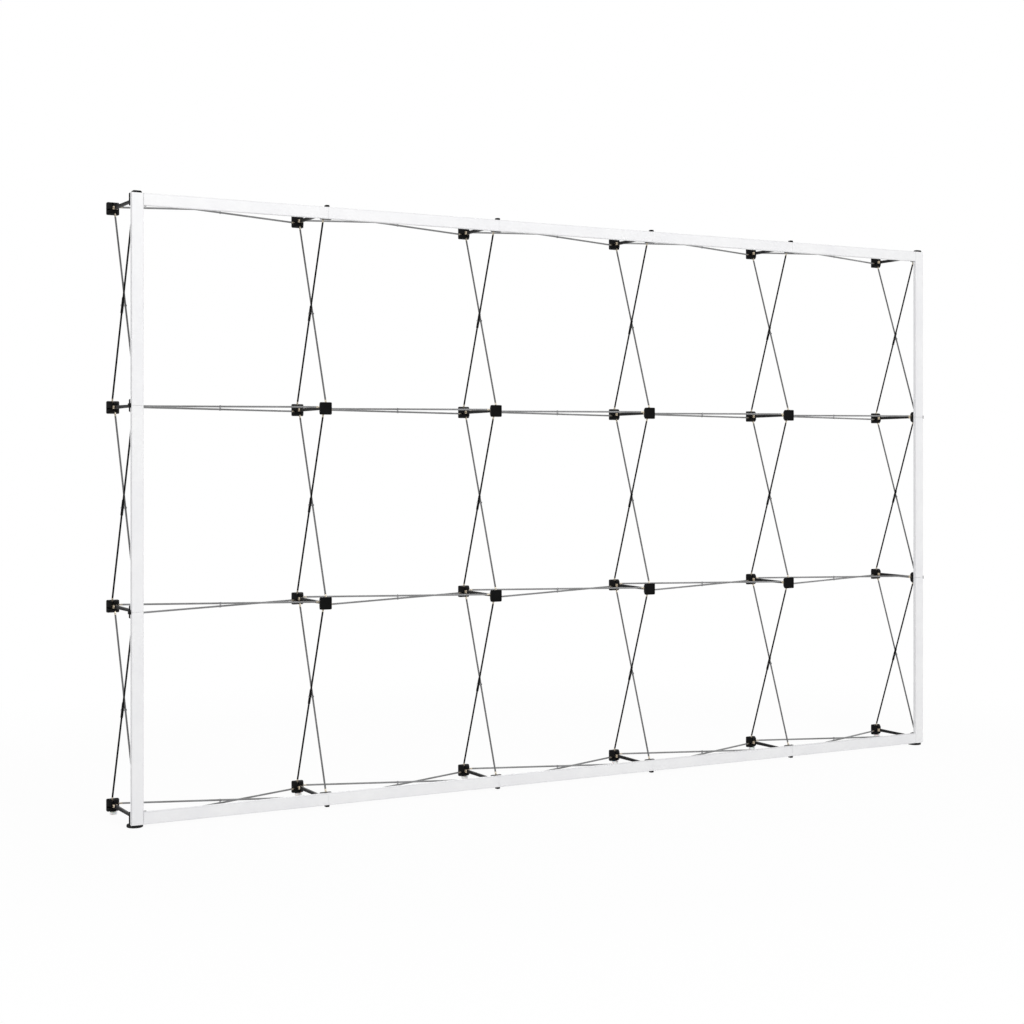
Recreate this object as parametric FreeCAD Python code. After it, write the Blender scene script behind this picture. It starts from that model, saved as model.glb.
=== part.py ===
import FreeCAD, Part
import math
import os

# Pop-up display wall: a straight double layer of moulded hubs, five bays wide and three high, held open
# by crossed scissor rods and lock arms, with channel bars clipped round the front for a stretched fabric.
# Lengths are in millimetres. X runs along the wall, Y from front to back, Z up from the floor.

# Lattice
COLUMNS = 6
ROWS = 4
BAY_WIDTH = 750.0
BAY_HEIGHT = 750.0
LAYER_SPACING = 262.0

# Hub
HUB_SIZE = 48.0
HUB_DEPTH = 28.0
HUB_CORNER = 5.0
HUB_PLATE = 9.0
HUB_WAIST = 40.0
HUB_WAIST_DEPTH = 20.0
HUB_NOSE = 27.0
HUB_NOSE_CORNER = 8.0
HUB_RIM = 2.0
HUB_RIM_WALL = 3.0
ROD_OFFSET = 5.5
PIN_REACH = 17.0
PIN_DIAMETER = 4.0
PIN_GRIP = 7.0
PIN_CLEARANCE = 0.05
DRIVE_CLEARANCE = 0.02
SLOT_SIDE_GAP = 0.2
SLOT_END_GAP = 0.8
SLOT_FLOOR_GAP = 2.0

# Scissor rod
ROD_DIAMETER = 7.0
ROD_WALL = 0.8
TONGUE_THICKNESS = 5.0
TONGUE_LENGTH = 17.0
SHOULDER_LENGTH = 8.0
SPIGOT_LENGTH = 14.0
SPIGOT_CLEARANCE = 0.05

# Crossing of two rods
SLEEVE_WALL = 1.5
SLEEVE_LENGTH = 60.0
SLEEVE_CLEARANCE = 0.05
RIVET_DIAMETER = 3.0
RIVET_CLEARANCE = 0.1
RIVET_HEAD_DIAMETER = 7.0
RIVET_HEAD_THICKNESS = 1.5

# Lock arm between a back hub and the front hub before it, and the brackets that carry its pins
BRACKET_BASE = 2.0
BRACKET_SPIGOT_DIAMETER = 6.0
BRACKET_SPIGOT_LENGTH = 7.0
EAR_THICKNESS = 3.5
EAR_RADIUS = 6.0
ARM_THICKNESS = 8.0
ARM_SIDE_GAP = 0.3
ARM_ROOT_RADIUS = 6.5
ARM_TIP_RADIUS = 5.0
ARM_END_GAP = 0.6
ARM_WEB = 3.6
ARM_RIM = 2.0
LOCK_PIN_DIAMETER = 4.0
LOCK_PIN_CLEARANCE = 0.06
CATCH_GAP = 0.3

# Channel bar, with a groove in its outer edge for the fabric's stiff edge
BAR_WIDTH = 45.0
BAR_DEPTH = 16.0
BAR_WALL = 1.8
BAR_EDGE_RADIUS = 1.5
GROOVE_WIDTH = 3.6
GROOVE_DEPTH = 12.0
BAR_RETURN = 7.5
BAR_GAP = 0.6

# Clips that carry the bars
CLIP_PLATE = 4.0
CLIP_LENGTH = 40.0
CLIP_BOSS_WIDTH = 24.0
CLIP_BOSS_LENGTH = 28.0
CLIP_TAB_WIDTH = 16.0
CLIP_TAB_HEIGHT = 8.0
CLIP_TAB_REACH = 10.0
CLIP_CORNER = 3.0
CLIP_GAP = 0.3
CORNER_TAB_WIDTH = 36.0
CORNER_TAB_ROUND = 7.0

# Feet
FOOT_HEIGHT = 10.5
FOOT_DIAMETER = 60.0
GLIDE_DIAMETER = 28.0
FOOT_ROUND = 3.0

V = FreeCAD.Vector
ORIGIN = V(0, 0, 0)
AXIS_X = V(1, 0, 0)
AXIS_Y = V(0, 1, 0)
AXIS_Z = V(0, 0, 1)

# Lengths that differ by less than this count as equal
SAME = 1e-6

# Places that follow from the sizes above
EAR_REACH = BRACKET_BASE + ARM_END_GAP + ARM_ROOT_RADIUS
GROOVE_BACK = BAR_WALL + GROOVE_WIDTH
CHANNEL_DEPTH = BAR_DEPTH - GROOVE_BACK - BAR_WALL
CLIP_BOSS_HEIGHT = CHANNEL_DEPTH - CLIP_GAP
BAR_STANDOFF = HUB_DEPTH / 2 + CLIP_PLATE
BAR_REACH = BAR_STANDOFF + BAR_DEPTH
FRONT_REACH = max(BAR_REACH, FOOT_DIAMETER / 2)
BACK_REACH = max(HUB_DEPTH, GLIDE_DIAMETER) / 2
DEPTH = FRONT_REACH + LAYER_SPACING + BACK_REACH
FRONT_Y = -DEPTH / 2 + FRONT_REACH
BACK_Y = FRONT_Y + LAYER_SPACING
BASE_Z = HUB_SIZE / 2 + FOOT_HEIGHT
COLUMN_X = [(i - (COLUMNS - 1) / 2) * BAY_WIDTH for i in range(COLUMNS)]
ROW_Z = [BASE_Z + j * BAY_HEIGHT for j in range(ROWS)]
SLOT_WIDTH = TONGUE_THICKNESS + 2 * SLOT_SIDE_GAP
CLEVIS_HALF = ARM_THICKNESS / 2 + ARM_SIDE_GAP
SLEEVE_RADIUS = ROD_DIAMETER / 2 + SLEEVE_CLEARANCE + SLEEVE_WALL


def box(x, y, z):
    """Block between pairs of limits."""
    return Part.makeBox(x[1] - x[0], y[1] - y[0], z[1] - z[0], V(x[0], y[0], z[0]))


def rod(start, end, radius):
    """Round bar from one point to another."""
    run = end - start
    return Part.makeCylinder(radius, run.Length, start, run)


def moved(shape, x, y, z):
    """Copy of a shape shifted in X, Y and Z."""
    copy = shape.copy()
    copy.translate(V(x, y, z))
    return copy


def turned(shape, axis, degrees):
    """Copy of a shape turned about an axis through the origin."""
    copy = shape.copy()
    copy.rotate(ORIGIN, axis, degrees)
    return copy


def square_outline(size, corner, y):
    """Square with round corners, on a plane across Y."""
    half = size / 2
    inset = half - corner
    middle = inset + corner * math.sqrt(0.5)
    arc = Part.Arc(V(inset, y, half), V(middle, y, middle), V(half, y, inset)).toShape()
    side = Part.makeLine(V(half, y, inset), V(half, y, -inset))
    edges = []
    for quarter in range(4):
        edges.append(turned(arc, AXIS_Y, 90 * quarter))
        edges.append(turned(side, AXIS_Y, 90 * quarter))
    return Part.Wire(edges)


def hub_body():
    """Square outer plate with a shallow dish, behind which the body tapers in two steps to its inner face."""
    outer = -HUB_DEPTH / 2
    plate = Part.Face(square_outline(HUB_SIZE, HUB_CORNER, outer)).extrude(AXIS_Y * HUB_PLATE)
    taper = Part.makeLoft([
        square_outline(HUB_SIZE, HUB_CORNER, outer + HUB_PLATE),
        square_outline(HUB_WAIST, HUB_NOSE_CORNER, outer + HUB_WAIST_DEPTH),
        square_outline(HUB_NOSE, HUB_NOSE_CORNER, outer + HUB_DEPTH),
    ], True, True)
    dish_outline = square_outline(HUB_SIZE - 2 * HUB_RIM_WALL, HUB_CORNER - HUB_RIM_WALL, outer)
    dish = Part.Face(dish_outline).extrude(AXIS_Y * HUB_RIM)
    return plate.fuse(taper).cut(dish)


def rod_slot():
    """Slot for the rod that leaves a front hub upwards, open to the top and to the inner face."""
    half = SLOT_WIDTH / 2
    floor = -ROD_DIAMETER / 2 - SLOT_FLOOR_GAP
    end = PIN_REACH - ROD_DIAMETER / 2 - SLOT_END_GAP
    return box((ROD_OFFSET - half, ROD_OFFSET + half), (floor, HUB_DEPTH), (end, HUB_SIZE))


def slot_pin(radius):
    """Cross pin of the upper slot, or the hole that it is driven into."""
    half = SLOT_WIDTH / 2 + PIN_GRIP
    start = V(ROD_OFFSET - half, 0, PIN_REACH)
    return rod(start, start + AXIS_X * (2 * half), radius)


def clevis_ear():
    """One ear of a bracket, with a round nose about the lock pin."""
    pin_y = HUB_DEPTH / 2 + EAR_REACH
    thickness = AXIS_X * EAR_THICKNESS
    foot = box((0, EAR_THICKNESS), (HUB_DEPTH / 2, pin_y), (-EAR_RADIUS, EAR_RADIUS))
    start = V(0, pin_y, 0)
    nose = rod(start, start + thickness, EAR_RADIUS)
    return foot.fuse(nose)


def lock_pin(radius):
    """Pin through both ears of a bracket."""
    half = CLEVIS_HALF + EAR_THICKNESS
    start = V(-half, HUB_DEPTH / 2 + EAR_REACH, 0)
    return rod(start, start + AXIS_X * (2 * half), radius)


def bracket_spigot(radius):
    """Spigot that holds a bracket in a hub's inner face, or the hole that it is driven into."""
    face = V(0, HUB_DEPTH / 2, 0)
    return rod(face - AXIS_Y * BRACKET_SPIGOT_LENGTH, face, radius)


def front_hub():
    """Moulded hub about its centre: four slots set like a pinwheel, their pin holes and a bracket's hole."""
    hub = hub_body()
    for quarter in range(4):
        hub = hub.cut(turned(rod_slot(), AXIS_Y, 90 * quarter))
        hub = hub.cut(turned(slot_pin(PIN_DIAMETER / 2 + DRIVE_CLEARANCE), AXIS_Y, 90 * quarter))
    hub = hub.cut(bracket_spigot(BRACKET_SPIGOT_DIAMETER / 2 + DRIVE_CLEARANCE))
    return hub.removeSplitter()


def arm_bracket():
    """Bracket on a front hub's inner face: a base, a spigot in the hub and two ears for the lock pin."""
    half = CLEVIS_HALF + EAR_THICKNESS
    face = HUB_DEPTH / 2
    base = box((-half, half), (face, face + BRACKET_BASE), (-EAR_RADIUS, EAR_RADIUS))
    ears = [moved(clevis_ear(), CLEVIS_HALF, 0, 0), moved(clevis_ear(), -half, 0, 0)]
    bracket = base.fuse(ears + [bracket_spigot(BRACKET_SPIGOT_DIAMETER / 2)])
    return bracket.cut(lock_pin(LOCK_PIN_DIAMETER / 2 + DRIVE_CLEARANCE)).removeSplitter()


def rod_tube(length):
    """Thin tube of a scissor rod along Z, drilled across X at its middle for the rivet."""
    tube = Part.makeCylinder(ROD_DIAMETER / 2, length)
    tube = tube.cut(Part.makeCylinder(ROD_DIAMETER / 2 - ROD_WALL, length))
    return tube.cut(rivet_hole(length / 2))


def rivet_hole(height):
    """Drill across X at a height on a rod that runs along Z."""
    reach = 2 * SLEEVE_RADIUS
    return rod(V(-reach, 0, height), V(reach, 0, height), RIVET_DIAMETER / 2 + RIVET_CLEARANCE)


def crossing_sleeve():
    """Sleeve round the middle of a rod along Z, drilled like the rod."""
    low = V(0, 0, -SLEEVE_LENGTH / 2)
    high = V(0, 0, SLEEVE_LENGTH / 2)
    sleeve = rod(low, high, SLEEVE_RADIUS)
    sleeve = sleeve.cut(rod(low, high, ROD_DIAMETER / 2 + SLEEVE_CLEARANCE))
    return sleeve.cut(rivet_hole(0))


def rod_end():
    """End fitting along Z from its pin hole: a round-nosed tongue, a shoulder and a spigot in the tube."""
    half = TONGUE_THICKNESS / 2
    shoulder_z = TONGUE_LENGTH - SHOULDER_LENGTH
    tongue = box((-half, half), (-ROD_DIAMETER / 2, ROD_DIAMETER / 2), (0, shoulder_z))
    nose = rod(V(-half, 0, 0), V(half, 0, 0), ROD_DIAMETER / 2)
    shoulder = Part.makeCylinder(ROD_DIAMETER / 2, SHOULDER_LENGTH, V(0, 0, shoulder_z))
    spigot_radius = ROD_DIAMETER / 2 - ROD_WALL - SPIGOT_CLEARANCE
    spigot = Part.makeCylinder(spigot_radius, SPIGOT_LENGTH, V(0, 0, TONGUE_LENGTH))
    fitting = tongue.fuse([nose, shoulder, spigot])
    pin_hole = rod(V(-half, 0, 0), V(half, 0, 0), PIN_DIAMETER / 2 + PIN_CLEARANCE)
    return fitting.cut(pin_hole).removeSplitter()


def crossing_rivet(low_radius, high_radius):
    """Rivet along X through two rods side by side, with a spacer between them and a head at each end."""
    low_face = -ROD_OFFSET - low_radius
    high_face = ROD_OFFSET + high_radius
    spacer = (-ROD_OFFSET + low_radius, ROD_OFFSET - high_radius)
    ends = (low_face - RIVET_HEAD_THICKNESS, high_face + RIVET_HEAD_THICKNESS)
    shank = rod(V(ends[0], 0, 0), V(ends[1], 0, 0), RIVET_DIAMETER / 2)
    spans = [(ends[0], low_face), spacer, (high_face, ends[1])]
    heads = [rod(V(a, 0, 0), V(b, 0, 0), RIVET_HEAD_DIAMETER / 2) for a, b in spans]
    return shank.fuse(heads).removeSplitter()


def lock_arm():
    """Tapered, webbed arm from its hinge at the origin towards -Y, with a hook over the catch pin."""
    reach = LAYER_SPACING - HUB_DEPTH - 2 * EAR_REACH
    root, tip = ARM_ROOT_RADIUS, ARM_TIP_RADIUS
    outline = Part.Wire([
        Part.Arc(V(0, 0, root), V(0, root, 0), V(0, 0, -root)).toShape(),
        Part.makeLine(V(0, 0, -root), V(0, -reach, -tip)),
        Part.Arc(V(0, -reach, -tip), V(0, -reach - tip, 0), V(0, -reach, tip)).toShape(),
        Part.makeLine(V(0, -reach, tip), V(0, 0, root)),
    ])
    arm = Part.Face(outline).extrude(AXIS_X * ARM_THICKNESS)
    arm.translate(AXIS_X * (-ARM_THICKNESS / 2))
    near, far = -root - ARM_RIM, -reach + tip + ARM_RIM
    pocket_outline = Part.makePolygon([
        V(0, near, root - ARM_RIM), V(0, far, tip - ARM_RIM), V(0, far, ARM_RIM - tip),
        V(0, near, ARM_RIM - root), V(0, near, root - ARM_RIM),
    ])
    pocket = Part.Face(pocket_outline).extrude(AXIS_X * ARM_THICKNESS)
    arm = arm.cut(moved(pocket, ARM_WEB / 2, 0, 0))
    arm = arm.cut(moved(pocket, -ARM_WEB / 2 - ARM_THICKNESS, 0, 0))
    across = ARM_THICKNESS
    hinge_hole = rod(V(-across, 0, 0), V(across, 0, 0), LOCK_PIN_DIAMETER / 2 + LOCK_PIN_CLEARANCE)
    mouth_half = LOCK_PIN_DIAMETER / 2 + CATCH_GAP
    seat = rod(V(-across, -reach, 0), V(across, -reach, 0), mouth_half)
    mouth = box((-across, across), (-reach - mouth_half, -reach + mouth_half), (-2 * tip, 0))
    return arm.cut([hinge_hole, seat, mouth]).removeSplitter()


def bar_profile():
    """Section of a channel bar in X and Y: groove in the outer edge at +X, front face at Y 0, open back."""
    edge = BAR_WIDTH / 2
    groove_end = edge - GROOVE_DEPTH
    points = [
        (-edge, 0), (edge, 0), (edge, BAR_WALL), (groove_end, BAR_WALL), (groove_end, GROOVE_BACK),
        (edge, GROOVE_BACK), (edge, BAR_DEPTH), (edge - BAR_RETURN, BAR_DEPTH),
        (edge - BAR_RETURN, BAR_DEPTH - BAR_WALL), (edge - BAR_WALL, BAR_DEPTH - BAR_WALL),
        (edge - BAR_WALL, GROOVE_BACK + BAR_WALL), (groove_end - BAR_WALL, GROOVE_BACK + BAR_WALL),
        (groove_end - BAR_WALL, BAR_WALL), (BAR_WALL - edge, BAR_WALL),
        (BAR_WALL - edge, BAR_DEPTH - BAR_WALL), (BAR_RETURN - edge, BAR_DEPTH - BAR_WALL),
        (BAR_RETURN - edge, BAR_DEPTH), (-edge, BAR_DEPTH), (-edge, 0),
    ]
    return Part.Face(Part.makePolygon([V(x, y, 0) for x, y in points]))


def bar(low, high, outward):
    """Channel bar between two ends along its run; outward is the turn about Y that faces its groove out."""
    blank = bar_profile().extrude(AXIS_Z * (high - low))
    front = [e for e in blank.Edges if e.BoundBox.YMax < SAME and e.BoundBox.XLength < SAME]
    blank = blank.makeFillet(BAR_EDGE_RADIUS, front)
    blank.translate(V(0, FRONT_Y - BAR_REACH, low))
    return turned(blank, AXIS_Y, outward)


def clip_plate(left, right, down, up):
    """Plate of a clip against the front face of a hub, between limits about the hub's centre."""
    plate = box((left, right), (-BAR_STANDOFF, -HUB_DEPTH / 2), (down, up))
    along_y = [e for e in plate.Edges if e.BoundBox.YLength > SAME]
    return plate.makeFillet(CLIP_CORNER, along_y)


def clip_boss(along, across):
    """Boss of a clip that fills a bar's open back, between limits along and half-width across the bar."""
    front = -BAR_STANDOFF - CLIP_BOSS_HEIGHT
    return box(along, (front, -BAR_STANDOFF), (-across, across))


def edge_clip():
    """Clip at a joint of two top bars, about the hub's centre: plate, boss and a tab over the bars' edge."""
    edge = BAR_WIDTH / 2 + CLIP_GAP
    plate = clip_plate(-CLIP_LENGTH / 2, CLIP_LENGTH / 2, -HUB_SIZE / 2, edge)
    boss = clip_boss((-CLIP_BOSS_LENGTH / 2, CLIP_BOSS_LENGTH / 2), CLIP_BOSS_WIDTH / 2)
    return plate.fuse([boss, clip_tab(CLIP_TAB_WIDTH, CLIP_CORNER, edge)]).removeSplitter()


def clip_tab(width, corner, edge):
    """Tab of a clip that stands over the upper edge of a bar, its two upper corners rounded."""
    front = -BAR_STANDOFF - CLIP_TAB_REACH
    tab = box((-width / 2, width / 2), (front, -HUB_DEPTH / 2), (edge, edge + CLIP_TAB_HEIGHT))
    upper = [e for e in tab.Edges if e.BoundBox.ZMin > edge and e.BoundBox.XLength < SAME]
    return tab.makeFillet(corner, upper)


def corner_clip(side, tab):
    """Clip at a corner: one boss in the upright bar, one in the level bar, with or without a tab on top."""
    edge = BAR_WIDTH / 2 + CLIP_GAP
    level = BAR_WIDTH / 2 + BAR_GAP + CLIP_GAP + BAR_WALL
    level_end = level + CLIP_BOSS_LENGTH / 2
    plate = clip_plate(-edge, level_end, -HUB_SIZE / 2, edge)
    boss = clip_boss((-CLIP_BOSS_LENGTH / 2, CLIP_BOSS_LENGTH / 2), CLIP_BOSS_WIDTH / 2)
    parts = [turned(boss, AXIS_Y, 90), clip_boss((level, level_end), CLIP_BOSS_WIDTH / 2)]
    if tab:
        parts.append(clip_tab(CORNER_TAB_WIDTH, CORNER_TAB_ROUND, edge))
    clip = plate.fuse(parts).removeSplitter()
    return clip if side < 0 else clip.mirror(ORIGIN, AXIS_X)


def foot(diameter):
    """Round foot from the floor to the underside of a bottom hub."""
    puck = Part.makeCylinder(diameter / 2, FOOT_HEIGHT)
    rim = [e for e in puck.Edges if e.BoundBox.ZLength < SAME]
    return puck.makeFillet(FOOT_ROUND, rim)


def frame_along(run, normal):
    """Placement that sends Z along a run and X along a normal to it."""
    z = V(run).normalize()
    x = V(normal)
    y = z.cross(x)
    matrix = FreeCAD.Matrix(x.x, y.x, z.x, 0, x.y, y.y, z.y, 0, x.z, y.z, z.z, 0, 0, 0, 0, 1)
    return FreeCAD.Placement(matrix)


def placed(shape, placement, at):
    """Copy of a shape turned by a placement, then set at a point."""
    copy = shape.copy()
    copy.transformShape(placement.toMatrix(), True)
    copy.translate(at)
    return copy


def rod_family(step, normal, offset, forward):
    """Rod template between two neighbouring hubs about the first hub's place in the lattice.

    step is the run from hub to hub, normal the pin axis, offset the rod's place along that axis.
    forward rods start on the front layer and end on the back layer, the others the other way round.
    """
    away = V(step).normalize()
    start_y, end_y = (FRONT_Y, BACK_Y) if forward else (BACK_Y, FRONT_Y)
    first = away * PIN_REACH + normal * offset + AXIS_Y * start_y
    last = step - away * PIN_REACH + normal * offset + AXIS_Y * end_y
    run = last - first
    unit = V(run).normalize()
    there = frame_along(run, normal)
    back = frame_along(-run, normal)
    length = run.Length - 2 * TONGUE_LENGTH
    return {
        "tube": placed(rod_tube(length), there, first + unit * TONGUE_LENGTH),
        "sleeve": placed(crossing_sleeve(), there, first + run * 0.5),
        "start": placed(rod_end(), there, first),
        "end": placed(rod_end(), back, last),
        "middle": first + run * 0.5 - normal * offset,
    }


def lattice():
    """Every piece of the lattice by node name."""
    nodes = {name: [] for name in (
        "front_hubs", "back_hubs", "hub_pins", "rising_rods_front_foot", "rising_rods_back_foot",
        "level_rods_front_start", "level_rods_back_start", "rod_ends_front", "rod_ends_back",
        "crossing_sleeves", "crossing_rivets", "arm_brackets", "arm_hinge_pins", "arm_catch_pins",
    )}
    hub = front_hub()
    back_hub = turned(hub, AXIS_Z, 180)
    bracket = arm_bracket()
    back_bracket = turned(bracket, AXIS_Z, 180)
    pin = slot_pin(PIN_DIAMETER / 2)
    front_pins = [turned(pin, AXIS_Y, 90 * quarter) for quarter in range(4)]
    back_pins = [turned(shape, AXIS_Z, 180) for shape in front_pins]
    catch = lock_pin(LOCK_PIN_DIAMETER / 2)
    hinge = turned(catch, AXIS_Z, 180)
    up, right = V(0, 0, BAY_HEIGHT), V(BAY_WIDTH, 0, 0)
    families = (
        ("rising_rods_front_foot", up, AXIS_X, ROD_OFFSET, True),
        ("rising_rods_back_foot", up, AXIS_X, -ROD_OFFSET, False),
        ("level_rods_front_start", right, AXIS_Z, -ROD_OFFSET, True),
        ("level_rods_back_start", right, AXIS_Z, ROD_OFFSET, False),
    )
    templates = {name: rod_family(*sizes) for name, *sizes in families}
    rivet_up = crossing_rivet(SLEEVE_RADIUS, ROD_DIAMETER / 2)
    rivet_level = turned(crossing_rivet(ROD_DIAMETER / 2, ROD_DIAMETER / 2), AXIS_Y, 90)
    for i, x in enumerate(COLUMN_X):
        for j, z in enumerate(ROW_Z):
            nodes["front_hubs"].append(moved(hub, x, FRONT_Y, z))
            nodes["back_hubs"].append(moved(back_hub, x, BACK_Y, z))
            nodes["arm_brackets"].append(moved(bracket, x, FRONT_Y, z))
            nodes["arm_brackets"].append(moved(back_bracket, x, BACK_Y, z))
            nodes["arm_catch_pins"].append(moved(catch, x, FRONT_Y, z))
            nodes["arm_hinge_pins"].append(moved(hinge, x, BACK_Y, z))
            used = (j < ROWS - 1, i < COLUMNS - 1, j > 0, i > 0)
            for quarter, has_rod in enumerate(used):
                if has_rod:
                    nodes["hub_pins"].append(moved(front_pins[quarter], x, FRONT_Y, z))
                    opposite = quarter if quarter % 2 == 0 else 4 - quarter
                    nodes["hub_pins"].append(moved(back_pins[opposite], x, BACK_Y, z))
            for name, step, normal, offset, forward in families:
                if not used[0 if step.z else 1]:
                    continue
                family = templates[name]
                nodes[name].append(moved(family["tube"], x, 0, z))
                first_end, last_end = ("front", "back") if forward else ("back", "front")
                nodes["rod_ends_" + first_end].append(moved(family["start"], x, 0, z))
                nodes["rod_ends_" + last_end].append(moved(family["end"], x, 0, z))
                if offset < 0:
                    if step.z:
                        nodes["crossing_sleeves"].append(moved(family["sleeve"], x, 0, z))
                    rivet = rivet_up if step.z else rivet_level
                    middle = family["middle"] + V(x, 0, z)
                    nodes["crossing_rivets"].append(moved(rivet, middle.x, middle.y, middle.z))
    return nodes


def lock_arms():
    """One lock arm at each pair of hubs, hinged on the back hub."""
    arm = lock_arm()
    hinge_y = BACK_Y - HUB_DEPTH / 2 - EAR_REACH
    nodes = {}
    for i, x in enumerate(COLUMN_X):
        for j, z in enumerate(ROW_Z):
            nodes[f"lock_arm_column_{i + 1}_row_{j + 1}"] = [moved(arm, x, hinge_y, z)]
    return nodes


def bars():
    """Channel bars round the front: upright bars run past the ends of the level ones."""
    nodes = {}
    edge = BAR_WIDTH / 2
    for j in range(ROWS - 1):
        low = ROW_Z[j] + BAR_GAP / 2 if j else ROW_Z[0] - edge
        high = ROW_Z[j + 1] - BAR_GAP / 2 if j < ROWS - 2 else ROW_Z[-1] + edge
        upright = bar(low, high, 0)
        nodes[f"right_bar_{j + 1}"] = [moved(upright, COLUMN_X[-1], 0, 0)]
        nodes[f"left_bar_{j + 1}"] = [moved(upright.mirror(ORIGIN, AXIS_X), COLUMN_X[0], 0, 0)]
    for i in range(COLUMNS - 1):
        low = COLUMN_X[i] + (BAR_GAP / 2 if i else edge + BAR_GAP)
        high = COLUMN_X[i + 1] - (BAR_GAP / 2 if i < COLUMNS - 2 else edge + BAR_GAP)
        top = bar(-high, -low, -90)
        nodes[f"top_bar_{i + 1}"] = [moved(top, 0, 0, ROW_Z[-1])]
        nodes[f"bottom_bar_{i + 1}"] = [moved(top.mirror(ORIGIN, AXIS_Z), 0, 0, ROW_Z[0])]
    return nodes


def clips_and_feet():
    """Clips at every front hub that carries bars, and the feet."""
    nodes = {"bar_clips": [], "corner_clips": [], "front_feet": [], "back_glides": []}
    clip = edge_clip()
    for x in COLUMN_X[1:-1]:
        nodes["bar_clips"].append(moved(clip, x, FRONT_Y, ROW_Z[-1]))
        nodes["bar_clips"].append(moved(turned(clip, AXIS_Y, 180), x, FRONT_Y, ROW_Z[0]))
    for z in ROW_Z[1:-1]:
        nodes["bar_clips"].append(moved(turned(clip, AXIS_Y, -90), COLUMN_X[0], FRONT_Y, z))
        nodes["bar_clips"].append(moved(turned(clip, AXIS_Y, 90), COLUMN_X[-1], FRONT_Y, z))
    for side, x in ((-1, COLUMN_X[0]), (1, COLUMN_X[-1])):
        nodes["corner_clips"].append(moved(corner_clip(side, True), x, FRONT_Y, ROW_Z[-1]))
        low = turned(corner_clip(-side, False), AXIS_Y, 180)
        nodes["corner_clips"].append(moved(low, x, FRONT_Y, ROW_Z[0]))
        nodes["front_feet"].append(moved(foot(FOOT_DIAMETER), x, FRONT_Y, 0))
    for x in COLUMN_X:
        nodes["back_glides"].append(moved(foot(GLIDE_DIAMETER), x, BACK_Y, 0))
    return nodes


def main():
    os.makedirs("parts", exist_ok=True)
    for group in (lattice(), lock_arms(), bars(), clips_and_feet()):
        for name, solids in group.items():
            shape = solids[0] if len(solids) == 1 else Part.makeCompound(solids)
            shape.exportStep(f"parts/{name}.step")
            state = "valid" if shape.isValid() else "INVALID"
            print(name, len(solids), state, round(shape.Volume), "mm3")


main()
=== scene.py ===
import math

import bpy
import numpy as np
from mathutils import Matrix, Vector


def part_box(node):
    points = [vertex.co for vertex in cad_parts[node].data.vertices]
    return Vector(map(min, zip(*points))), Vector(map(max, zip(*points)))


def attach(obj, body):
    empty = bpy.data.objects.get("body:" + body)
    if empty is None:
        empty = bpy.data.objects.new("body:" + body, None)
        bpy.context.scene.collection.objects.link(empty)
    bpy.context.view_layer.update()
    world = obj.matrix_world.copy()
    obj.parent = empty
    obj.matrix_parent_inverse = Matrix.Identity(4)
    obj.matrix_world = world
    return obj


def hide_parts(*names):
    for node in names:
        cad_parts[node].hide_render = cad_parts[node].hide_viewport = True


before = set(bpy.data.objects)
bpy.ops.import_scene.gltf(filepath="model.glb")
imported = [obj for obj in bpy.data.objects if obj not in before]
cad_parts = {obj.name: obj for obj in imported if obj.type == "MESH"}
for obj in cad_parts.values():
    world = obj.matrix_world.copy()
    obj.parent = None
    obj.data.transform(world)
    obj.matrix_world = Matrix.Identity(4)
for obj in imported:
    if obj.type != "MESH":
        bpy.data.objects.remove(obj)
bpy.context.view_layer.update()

# Lattice sizes, in metres
BAY = 0.750
LAYER_SPACING = 0.262
PIN_REACH = 0.017
ROD_SLOPE = math.atan2(LAYER_SPACING, BAY - 2 * PIN_REACH)
RIGHT_ANGLE = math.pi / 2

# Section of a channel bar, in metres
BAR_WALL = 0.0018
GROOVE_WIDTH = 0.0036
GROOVE_DEPTH = 0.012
BAR_RETURN = 0.0075
BAR_FRONT_RADIUS = 0.0015
BAR_EDGE_RADIUS = 0.00025
BAR_EDGE_STEPS = 5

# The part of the 0 to 1 range that fractal noise mostly fills
NOISE_LOW = 0.3
NOISE_HIGH = 0.7

# White of the bars, and the band of painted shade along their long edges: its share of the width, and its
# tint
BAR_WHITE = (0.88, 0.88, 0.89)
BAR_CLOUD_DARK = (0.855, 0.855, 0.87)
BAR_CLOUD_LIGHT = (0.90, 0.90, 0.905)
BAR_EDGE_SHADE_SHARE = 0.10
BAR_EDGE_SHADE_TINT = (0.87, 0.87, 0.875)
BAR_MIDDLE = 0.5

# Tones of the rods, which are lit and shaded copies of one metal: painted light makes those that lean back
# paler, painted shade makes those that lean forward near black, and a painted reflection makes the level
# ones palest
ROD_PAINTED_LIT = 0.12
ROD_PAINTED_SHADE = 0.004
ROD_LEVEL_PAINTED_LIT = 0.22
ROD_METALLIC = 0.5
ROD_SPECULAR = 0.05

# How many times longer the drawing lines are than they are wide
BAR_LINE_STRETCH = 50
ROD_LINE_STRETCH = 100

# Shares of a finish's own tone, in red, green and blue, where it clouds
MOULD_CLOUD_DARK = (0.75, 0.75, 0.75)
MOULD_CLOUD_LIGHT = (1.35, 1.35, 1.45)
ROD_CLOUD_DARK = (0.85, 0.85, 0.85)
ROD_CLOUD_LIGHT = (1.15, 1.16, 1.18)

# Sheen of the black mouldings, the rubber and the turned metal, and light under the skin of the nylon
MOULD_SPECULAR = 0.06
RUBBER_SPECULAR = 0.15
TURNED_METALLIC = 0.9
NYLON_GLOW = 0.1
NYLON_GLOW_DEPTH = 0.002

# Camera, from the hubs' places in the photograph
CAMERA_PLACE = (-3.849, -6.384, 1.346)
CAMERA_YAW = math.radians(29.57)
CAMERA_REACH = 200.0
FOCAL_PIXELS = 1763.0
HORIZON_ROW = 457.4
PICTURE_SIZE = 1024
SENSOR_MM = 36.0

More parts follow.
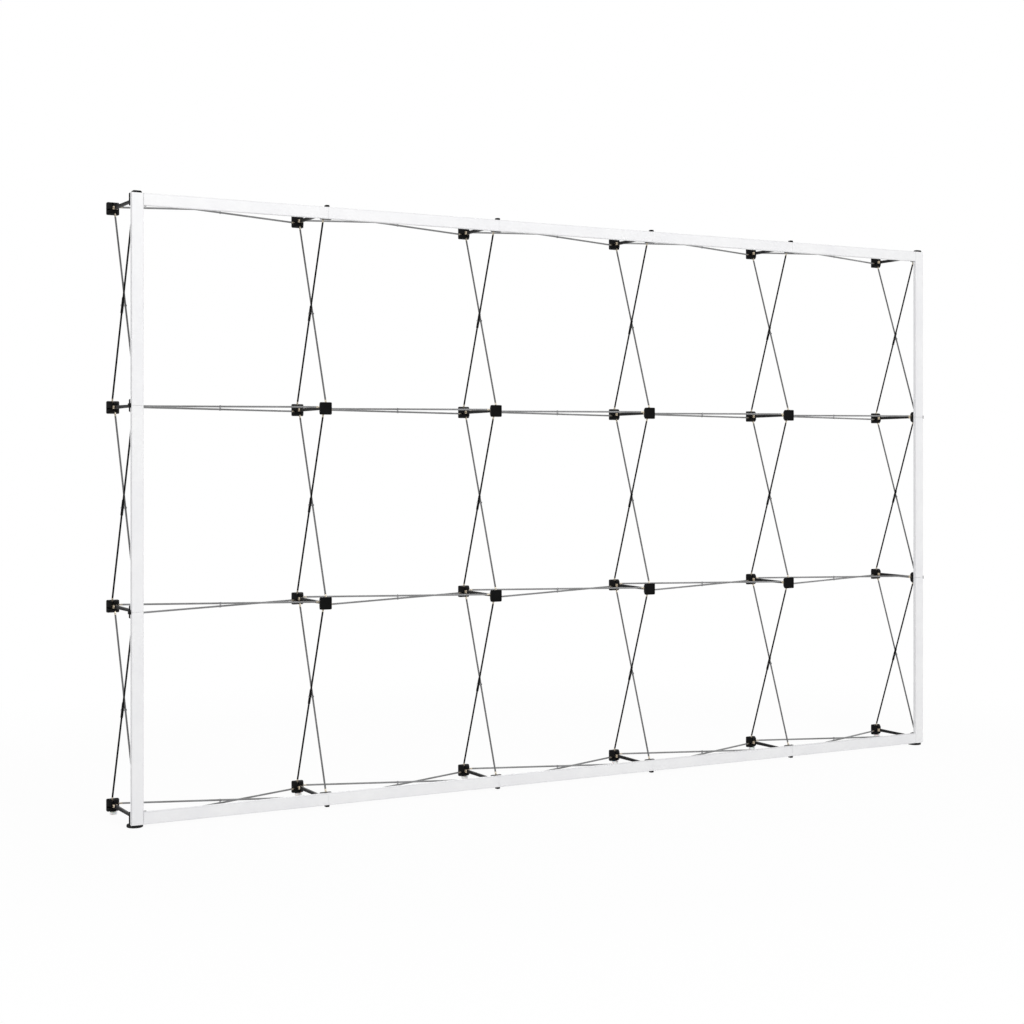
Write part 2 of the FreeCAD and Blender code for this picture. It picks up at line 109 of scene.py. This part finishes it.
# Light: lamp places in metres, powers in watts
SKY_LEVEL = 0.51
SKY_WHITE = 1.0
LAMP_AIM = (0.0, 0.0, 1.1)
LAMP_SIZE = 3.5
KEY_PLACE = (-0.6, -8.5, 6.0)
KEY_POWER = 385.0
LEFT_PLACE = (-16.0, 0.0, 2.6)
LEFT_POWER = 600.0
RIGHT_PLACE = (16.0, 0.0, 2.6)
RIGHT_POWER = 450.0
FILL_PLACE = (2.0, 6.0, 3.6)
FILL_POWER = 110.0

# Floor: its share of plain white near the wall, and the distances between which that grows to all
FLOOR_HALF = 60.0
FLOOR_WHITE = 0.9
FLOOR_GLOW = 0.94
FLOOR_FADE_START = 2.2
FLOOR_FADE_END = 3.6


def new_material(name, color, roughness, metallic=0.0):
    """Material with a principled shader; returns it with its node tree and shader."""
    material = bpy.data.materials.new(name)
    material.use_nodes = True
    tree = material.node_tree
    shader = tree.nodes["Principled BSDF"]
    shader.inputs["Base Color"].default_value = (*color, 1)
    shader.inputs["Roughness"].default_value = roughness
    shader.inputs["Metallic"].default_value = metallic
    return material, tree, shader


def place_coordinates(tree, stretch=(1, 1, 1), turn=(0, 0, 0)):
    """Object coordinates in axes turned with the piece, the pattern drawn out along each axis."""
    source = tree.nodes.new("ShaderNodeTexCoord")
    mapping = tree.nodes.new("ShaderNodeMapping")
    mapping.vector_type = "TEXTURE"
    mapping.inputs["Rotation"].default_value = turn
    mapping.inputs["Scale"].default_value = stretch
    tree.links.new(source.outputs["Object"], mapping.inputs["Vector"])
    return mapping.outputs["Vector"]


def noise(tree, vector, scale, detail):
    """Fractal noise on a vector."""
    node = tree.nodes.new("ShaderNodeTexNoise")
    node.inputs["Scale"].default_value = scale
    node.inputs["Detail"].default_value = detail
    tree.links.new(vector, node.inputs["Vector"])
    return node.outputs["Fac"]


def vary_roughness(tree, shader, value, low, high):
    """Roughness that runs from low to high with a noise value."""
    node = tree.nodes.new("ShaderNodeMapRange")
    node.inputs["From Min"].default_value = NOISE_LOW
    node.inputs["From Max"].default_value = NOISE_HIGH
    node.inputs["To Min"].default_value = low
    node.inputs["To Max"].default_value = high
    tree.links.new(value, node.inputs["Value"])
    tree.links.new(node.outputs["Result"], shader.inputs["Roughness"])


def vary_color(tree, shader, value, dark, light):
    """Base colour that runs from a dark to a light tone with a noise value; returns that colour."""
    ramp = tree.nodes.new("ShaderNodeValToRGB")
    ramp.color_ramp.elements[0].position = NOISE_LOW
    ramp.color_ramp.elements[0].color = (*dark, 1)
    ramp.color_ramp.elements[1].position = NOISE_HIGH
    ramp.color_ramp.elements[1].color = (*light, 1)
    tree.links.new(value, ramp.inputs["Fac"])
    tree.links.new(ramp.outputs["Color"], shader.inputs["Base Color"])
    return ramp.outputs["Color"]


def raise_grain(tree, shader, value, strength, height):
    """Bump from a value, height in metres."""
    bump = tree.nodes.new("ShaderNodeBump")
    bump.inputs["Strength"].default_value = strength
    bump.inputs["Distance"].default_value = height
    tree.links.new(value, bump.inputs["Height"])
    tree.links.new(bump.outputs["Normal"], shader.inputs["Normal"])


def tinted(tone, shares):
    """A tone times its share in red, green and blue."""
    return tuple(tone * share for share in shares)


def moulded_black(name, tone, grain_scale, roughness):
    """Black moulded plastic: fine grain that changes the sheen, and slow changes of tone."""
    material, tree, shader = new_material(name, (tone, tone, tone), roughness)
    shader.inputs["Specular IOR Level"].default_value = MOULD_SPECULAR
    place = place_coordinates(tree)
    cloud = noise(tree, place, scale=40, detail=2)
    grain = noise(tree, place, scale=grain_scale, detail=4)
    vary_color(tree, shader, cloud, tinted(tone, MOULD_CLOUD_DARK), tinted(tone, MOULD_CLOUD_LIGHT))
    vary_roughness(tree, shader, grain, low=roughness - 0.08, high=roughness + 0.1)
    raise_grain(tree, shader, grain, strength=0.25, height=0.0003)
    return material


def edge_shade_mask(tree):
    """0 on a bar's face, rising to 1 at its two long edges, from the share U of the way across the bar; it
    masks the painted edge shade.
    """
    source = tree.nodes.new("ShaderNodeTexCoord")
    parts = tree.nodes.new("ShaderNodeSeparateXYZ")
    tree.links.new(source.outputs["UV"], parts.inputs["Vector"])
    from_middle = tree.nodes.new("ShaderNodeMath")
    from_middle.operation = "SUBTRACT"
    from_middle.inputs[1].default_value = BAR_MIDDLE
    tree.links.new(parts.outputs["X"], from_middle.inputs[0])
    distance = tree.nodes.new("ShaderNodeMath")
    distance.operation = "ABSOLUTE"
    tree.links.new(from_middle.outputs["Value"], distance.inputs[0])
    band = tree.nodes.new("ShaderNodeMapRange")
    band.inputs["From Min"].default_value = BAR_MIDDLE - BAR_EDGE_SHADE_SHARE
    band.inputs["From Max"].default_value = BAR_MIDDLE
    tree.links.new(distance.outputs["Value"], band.inputs["Value"])
    return band.outputs["Result"]


def satin_white(name, stretch):
    """White extruded bar: faint drawing lines along its run, cloudy tone, a satin sheen and painted shade
    along its long edges.
    """
    material, tree, shader = new_material(name, BAR_WHITE, roughness=0.42)
    lines = noise(tree, place_coordinates(tree, stretch), scale=900, detail=3)
    cloud = noise(tree, place_coordinates(tree), scale=9, detail=4)
    white = vary_color(tree, shader, cloud, BAR_CLOUD_DARK, BAR_CLOUD_LIGHT)
    # Painted shade: the colour is multiplied greyer towards the bar's two long edges, standing in for the
    # shade on its rounded edges
    shaded_edges = tree.nodes.new("ShaderNodeMixRGB")
    shaded_edges.blend_type = "MULTIPLY"
    shaded_edges.inputs["Color2"].default_value = (*BAR_EDGE_SHADE_TINT, 1)
    tree.links.new(edge_shade_mask(tree), shaded_edges.inputs["Fac"])
    tree.links.new(white, shaded_edges.inputs["Color1"])
    tree.links.new(shaded_edges.outputs["Color"], shader.inputs["Base Color"])
    vary_roughness(tree, shader, lines, low=0.36, high=0.5)
    raise_grain(tree, shader, lines, strength=0.05, height=0.0001)
    return material


def drawn_rod(name, turn, tone, metallic):
    """Anodised tube: fine drawing lines that follow the rod, with cloudy dye tone around its given base
    tone, which carries the painted light and shade of its group.
    """
    material, tree, shader = new_material(name, (tone, tone, tone), roughness=0.45, metallic=metallic)
    shader.inputs["Specular IOR Level"].default_value = ROD_SPECULAR
    lines = noise(tree, place_coordinates(tree, (1, 1, ROD_LINE_STRETCH), turn), scale=1500, detail=3)
    cloud = noise(tree, place_coordinates(tree), scale=14, detail=3)
    vary_color(tree, shader, cloud, tinted(tone, ROD_CLOUD_DARK), tinted(tone, ROD_CLOUD_LIGHT))
    vary_roughness(tree, shader, lines, low=0.4, high=0.52)
    raise_grain(tree, shader, lines, strength=0.05, height=0.0001)
    return material


def turned_metal(name, dark, light, roughness):
    """Turned metal: tool marks as fine noise, with a slow tarnish."""
    material, tree, shader = new_material(name, light, roughness, TURNED_METALLIC)
    place = place_coordinates(tree)
    tarnish = noise(tree, place, scale=120, detail=4)
    marks = noise(tree, place, scale=1800, detail=2)
    vary_color(tree, shader, tarnish, dark, light)
    vary_roughness(tree, shader, marks, low=roughness - 0.08, high=roughness + 0.12)
    raise_grain(tree, shader, marks, strength=0.2, height=0.0001)
    return material


def foot_rubber():
    """Black rubber, dusty in its pores."""
    material, tree, shader = new_material("foot_rubber", (0.016, 0.016, 0.016), roughness=0.85)
    shader.inputs["Specular IOR Level"].default_value = RUBBER_SPECULAR
    pores = noise(tree, place_coordinates(tree), scale=1400, detail=4)
    vary_color(tree, shader, pores, dark=(0.008, 0.008, 0.008), light=(0.026, 0.026, 0.025))
    raise_grain(tree, shader, pores, strength=0.4, height=0.0003)
    return material


def glide_nylon():
    """White nylon: faintly cloudy, with light passing just under its skin and fine scuffs from the floor."""
    material, tree, shader = new_material("glide_white", (0.86, 0.86, 0.85), roughness=0.5)
    shader.inputs["Subsurface Weight"].default_value = NYLON_GLOW
    shader.inputs["Subsurface Scale"].default_value = NYLON_GLOW_DEPTH
    place = place_coordinates(tree)
    cloud = noise(tree, place, scale=60, detail=3)
    scuffs = noise(tree, place, scale=900, detail=4)
    vary_color(tree, shader, cloud, dark=(0.82, 0.82, 0.80), light=(0.88, 0.88, 0.87))
    vary_roughness(tree, shader, scuffs, low=0.42, high=0.62)
    return material


def rod_finishes():
    """One finish for each group of parallel rods, with its drawing lines turned to follow them. The groups
    are one metal: their differing tones, and the lack of metal sheen on the forward-leaning group, are
    painted light and shade.
    """
    return {
        # Painted light on rods that lean back, painted shade without metal sheen on rods that lean forward,
        # painted reflection on level rods
        "rising_rods_front_foot": drawn_rod("rod_rising_back_painted_lit", (-ROD_SLOPE, 0, 0), ROD_PAINTED_LIT, ROD_METALLIC),
        "rising_rods_back_foot": drawn_rod("rod_rising_front_painted_shade", (ROD_SLOPE, 0, 0), ROD_PAINTED_SHADE, metallic=0.0),
        "level_rods_front_start": drawn_rod(
            "rod_level_back_painted_lit", (0, RIGHT_ANGLE, ROD_SLOPE), ROD_LEVEL_PAINTED_LIT, ROD_METALLIC),
        "level_rods_back_start": drawn_rod(
            "rod_level_front_painted_lit", (0, RIGHT_ANGLE, -ROD_SLOPE), ROD_LEVEL_PAINTED_LIT, ROD_METALLIC),
    }


def dress_nodes():
    """A finish for every node that stays in view."""
    hub = moulded_black("hub_black", tone=0.0035, grain_scale=1600, roughness=0.55)
    arm = moulded_black("arm_black", tone=0.018, grain_scale=1400, roughness=0.45)
    clip = moulded_black("clip_black", tone=0.005, grain_scale=1500, roughness=0.55)
    sleeve = moulded_black("sleeve_black", tone=0.005, grain_scale=1100, roughness=0.5)
    steel = turned_metal("pin_steel", dark=(0.30, 0.30, 0.31), light=(0.48, 0.48, 0.49), roughness=0.36)
    brass = turned_metal("rod_end_brass", dark=(0.34, 0.30, 0.24), light=(0.52, 0.47, 0.38), roughness=0.36)
    cast = turned_metal("bracket_brass", dark=(0.56, 0.46, 0.33), light=(0.82, 0.71, 0.55), roughness=0.42)
    lock = turned_metal("lock_pin_brass", dark=(0.50, 0.39, 0.20), light=(0.76, 0.63, 0.36), roughness=0.3)
    finishes = {
        "front_hubs": hub, "back_hubs": hub, "bar_clips": clip, "corner_clips": clip,
        "crossing_sleeves": sleeve, "front_feet": foot_rubber(), "back_glides": glide_nylon(),
        "hub_pins": steel, "crossing_rivets": steel, "rod_ends_front": brass, "rod_ends_back": brass,
        "arm_brackets": cast, "arm_hinge_pins": lock, "arm_catch_pins": lock, **rod_finishes(),
    }
    for name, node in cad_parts.items():
        finish = arm if name.startswith("lock_arm") else finishes.get(name)
        if finish:
            for slot in node.material_slots:
                slot.material = finish


def rounded_outline(points, radii, steps):
    """Closed outline of square corners, each replaced by a circle arc tangent to its two sides.

    At a corner P between unit directions a and b to its neighbours, the arc starts at P + radius a and ends
    at P + radius b, and runs along P + radius (a (1 - sin t) + b (1 - cos t)) for t from 0 to a right angle.
    """
    corner = np.array(points, float)
    before = np.roll(corner, 1, axis=0) - corner
    after = np.roll(corner, -1, axis=0) - corner
    before /= np.linalg.norm(before, axis=1)[:, None]
    after /= np.linalg.norm(after, axis=1)[:, None]
    angle = np.linspace(0, RIGHT_ANGLE, steps)
    arc_before = before[:, None, :] * (1 - np.sin(angle))[None, :, None]
    arc_after = after[:, None, :] * (1 - np.cos(angle))[None, :, None]
    return (corner[:, None, :] + np.array(radii)[:, None, None] * (arc_before + arc_after)).reshape(-1, 2)


def bar_outline(width, depth):
    """Section of a channel bar: across its width, outer edge positive, and back from its front face.

    Walls of one thickness run round an open back with two returns, and a groove is let into the outer edge
    just behind the front wall. The corners are square, with the larger radius on the two front ones.
    """
    edge = width / 2
    inner = edge - BAR_WALL
    lip = edge - BAR_RETURN
    back = depth - BAR_WALL
    groove_end = edge - GROOVE_DEPTH
    groove_back = BAR_WALL + GROOVE_WIDTH
    front = [(-edge, 0), (edge, 0)]
    rest = [
        (edge, BAR_WALL), (groove_end, BAR_WALL), (groove_end, groove_back), (edge, groove_back),
        (edge, depth), (lip, depth), (lip, back), (inner, back), (inner, groove_back + BAR_WALL),
        (groove_end - BAR_WALL, groove_back + BAR_WALL), (groove_end - BAR_WALL, BAR_WALL),
        (-inner, BAR_WALL), (-inner, back), (-lip, back), (-lip, depth), (-edge, depth),
    ]
    radii = [BAR_FRONT_RADIUS] * len(front) + [BAR_EDGE_RADIUS] * len(rest)
    return rounded_outline(front + rest, radii, BAR_EDGE_STEPS)


def extruded(name, outline, origin, across, back, along, length):
    """Prism: the outline set out along two axes and carried along a third, with a flat face at each end.

    Its UV map gives the share of the way across the outline and the share of the way along the prism.
    """
    flat = np.array(origin) + outline[:, :1] * np.array(across) + outline[:, 1:] * np.array(back)
    points = np.concatenate([flat, flat + length * np.array(along)])
    count = len(outline)
    here = np.arange(count)
    following = np.roll(here, -1)
    sides = np.stack([here, following, following + count, here + count], axis=1).tolist()
    ends = [here[::-1].tolist(), (here + count).tolist()]
    mesh = bpy.data.meshes.new(name)
    mesh.from_pydata(points.tolist(), [], sides + ends)
    turned_out = np.dot(np.cross(across, back), along) > 0
    if not turned_out:
        mesh.flip_normals()
    mesh.update()
    corner = np.empty(len(mesh.loops), int)
    mesh.loops.foreach_get("vertex_index", corner)
    share_across = (outline[:, 0] - outline[:, 0].min()) / np.ptp(outline[:, 0])
    shares = np.stack([np.tile(share_across, 2), np.repeat([0.0, 1.0], count)], axis=1)
    mesh.uv_layers.new(name="section").data.foreach_set("uv", shares[corner].ravel())
    piece = bpy.data.objects.new(name, mesh)
    bpy.context.collection.objects.link(piece)
    return piece


def channel_bars():
    """Each bar as a prism of its rounded section, in the place and size of its solid."""
    level = satin_white("bar_white_level", (BAR_LINE_STRETCH, 1, 1))
    upright = satin_white("bar_white_upright", (1, 1, BAR_LINE_STRETCH))
    outward = {"top": (0, 0, 1), "bottom": (0, 0, -1), "left": (-1, 0, 0), "right": (1, 0, 0)}
    for name in [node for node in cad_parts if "_bar_" in node]:
        low, high = (np.array(corner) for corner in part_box(name))
        size = high - low
        side = name.split("_")[0]
        run = 0 if side in ("top", "bottom") else 2
        along = np.eye(3)[run]
        width = size[2 - run]
        start = (low + high) / 2
        start[1] = low[1]
        start[run] = low[run]
        outline = bar_outline(width, size[1])
        piece = extruded(name + "_section", outline, start, outward[side], (0, 1, 0), along, size[run])
        piece.data.materials.append(level if run == 0 else upright)
        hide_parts(name)
        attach(piece, name)


def seen_rays(tree):
    """1 for rays that come from the camera, straight or by way of gloss or glass."""
    path = tree.nodes.new("ShaderNodeLightPath")
    total = path.outputs["Is Camera Ray"]
    for name in ("Is Glossy Ray", "Is Transmission Ray"):
        either = tree.nodes.new("ShaderNodeMath")
        either.operation = "MAXIMUM"
        tree.links.new(total, either.inputs[0])
        tree.links.new(path.outputs[name], either.inputs[1])
        total = either.outputs["Value"]
    return total


def plain_white_share(tree):
    """Share of plain white on the floor for seen rays: high near the wall, and rising to all further off."""
    source = tree.nodes.new("ShaderNodeTexCoord")
    away = tree.nodes.new("ShaderNodeVectorMath")
    away.operation = "LENGTH"
    tree.links.new(source.outputs["Object"], away.inputs[0])
    fade = tree.nodes.new("ShaderNodeMapRange")
    fade.inputs["From Min"].default_value = FLOOR_FADE_START
    fade.inputs["From Max"].default_value = FLOOR_FADE_END
    fade.inputs["To Min"].default_value = FLOOR_GLOW
    tree.links.new(away.outputs["Value"], fade.inputs["Value"])
    share = tree.nodes.new("ShaderNodeMath")
    share.operation = "MULTIPLY"
    tree.links.new(seen_rays(tree), share.inputs[0])
    tree.links.new(fade.outputs["Result"], share.inputs[1])
    return share.outputs["Value"]


def floor_white():
    """Matte white that takes a shadow, mixed with plain white."""
    material = bpy.data.materials.new("floor_white")
    material.use_nodes = True
    tree = material.node_tree
    tree.nodes.clear()
    output = tree.nodes.new("ShaderNodeOutputMaterial")
    matte = tree.nodes.new("ShaderNodeBsdfDiffuse")
    matte.inputs["Color"].default_value = (FLOOR_WHITE, FLOOR_WHITE, FLOOR_WHITE, 1)
    bright = tree.nodes.new("ShaderNodeEmission")
    mix = tree.nodes.new("ShaderNodeMixShader")
    tree.links.new(plain_white_share(tree), mix.inputs["Fac"])
    tree.links.new(matte.outputs["BSDF"], mix.inputs[1])
    tree.links.new(bright.outputs["Emission"], mix.inputs[2])
    tree.links.new(mix.outputs["Shader"], output.inputs["Surface"])
    return material


def floor():
    """White floor that takes the shadow near the wall and fades into plain white around it."""
    mesh = bpy.data.meshes.new("floor")
    half = FLOOR_HALF
    corners = [(-half, -half, 0), (half, -half, 0), (half, half, 0), (-half, half, 0)]
    mesh.from_pydata(corners, [], [(0, 1, 2, 3)])
    plane = bpy.data.objects.new("floor", mesh)
    bpy.context.collection.objects.link(plane)
    plane.data.materials.append(floor_white())


def soft_lamp(name, place, power):
    """Large square lamp that faces the middle of the wall."""
    lamp = bpy.data.lights.new(name, "AREA")
    lamp.size = LAMP_SIZE
    lamp.energy = power
    source = bpy.data.objects.new(name, lamp)
    source.location = place
    aim = np.subtract(LAMP_AIM, place)
    flat = math.hypot(aim[0], aim[1])
    source.rotation_euler = (math.atan2(flat, -aim[2]), 0, math.atan2(-aim[0], aim[1]))
    bpy.context.collection.objects.link(source)


def light():
    """Even sky light that looks white to the camera, with soft lamps in front, at both sides and behind."""
    world = bpy.data.worlds.new("studio")
    bpy.context.scene.world = world
    world.use_nodes = True
    tree = world.node_tree
    background = tree.nodes["Background"]
    background.inputs["Color"].default_value = (1, 1, 1, 1)
    strength = tree.nodes.new("ShaderNodeMapRange")
    strength.inputs["To Min"].default_value = SKY_LEVEL
    strength.inputs["To Max"].default_value = SKY_WHITE
    tree.links.new(seen_rays(tree), strength.inputs["Value"])
    tree.links.new(strength.outputs["Result"], background.inputs["Strength"])
    soft_lamp("key", KEY_PLACE, KEY_POWER)
    soft_lamp("left", LEFT_PLACE, LEFT_POWER)
    soft_lamp("right", RIGHT_PLACE, RIGHT_POWER)
    soft_lamp("fill", FILL_PLACE, FILL_POWER)


def camera():
    """Level camera at the photograph's place, with a shift for its horizon."""
    data = bpy.data.cameras.new("camera")
    data.sensor_width = SENSOR_MM
    data.lens = SENSOR_MM * FOCAL_PIXELS / PICTURE_SIZE
    data.shift_y = (HORIZON_ROW - PICTURE_SIZE / 2) / PICTURE_SIZE
    data.clip_end = CAMERA_REACH
    view = bpy.data.objects.new("camera", data)
    view.location = CAMERA_PLACE
    view.rotation_euler = (RIGHT_ANGLE, 0, -CAMERA_YAW)
    bpy.context.collection.objects.link(view)
    bpy.context.scene.camera = view


dress_nodes()
channel_bars()
floor()
light()
camera()
bpy.context.scene.view_settings.view_transform = "Standard"
